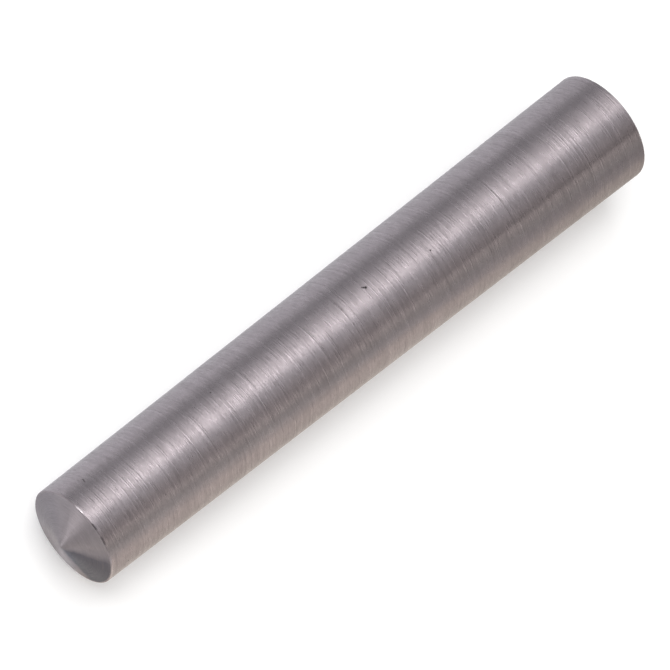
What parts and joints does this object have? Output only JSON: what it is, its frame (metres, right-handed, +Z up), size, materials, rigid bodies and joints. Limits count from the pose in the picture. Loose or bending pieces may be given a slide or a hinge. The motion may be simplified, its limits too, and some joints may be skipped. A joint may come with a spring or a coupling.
{
  "type": "ring mandrel",
  "caption": "Plain solid steel mandrel: a round bar ground to a slow straight 1:50 taper, with both ends turned to a shallow blunt cone. Rings or hubs slide on from the small end and wedge.",
  "frame": {"origin": "centre of the small rim, on the axis, in the plane where the taper starts and the nominal diameter is measured", "axes": "+X along the axis from the small end to the large end; the bar lies on its side with +Z up; +Y completes the right-handed frame"},
  "size_m": [0.1155, 0.0182, 0.0182],
  "materials": {
    "ground_steel": "plain uncoated steel, ground round the axis, satin, with concentric turning marks on the coned ends"
  },
  "bodies": {
    "root": {"mandrel_body": "ground_steel"}
  },
  "joints": []
}
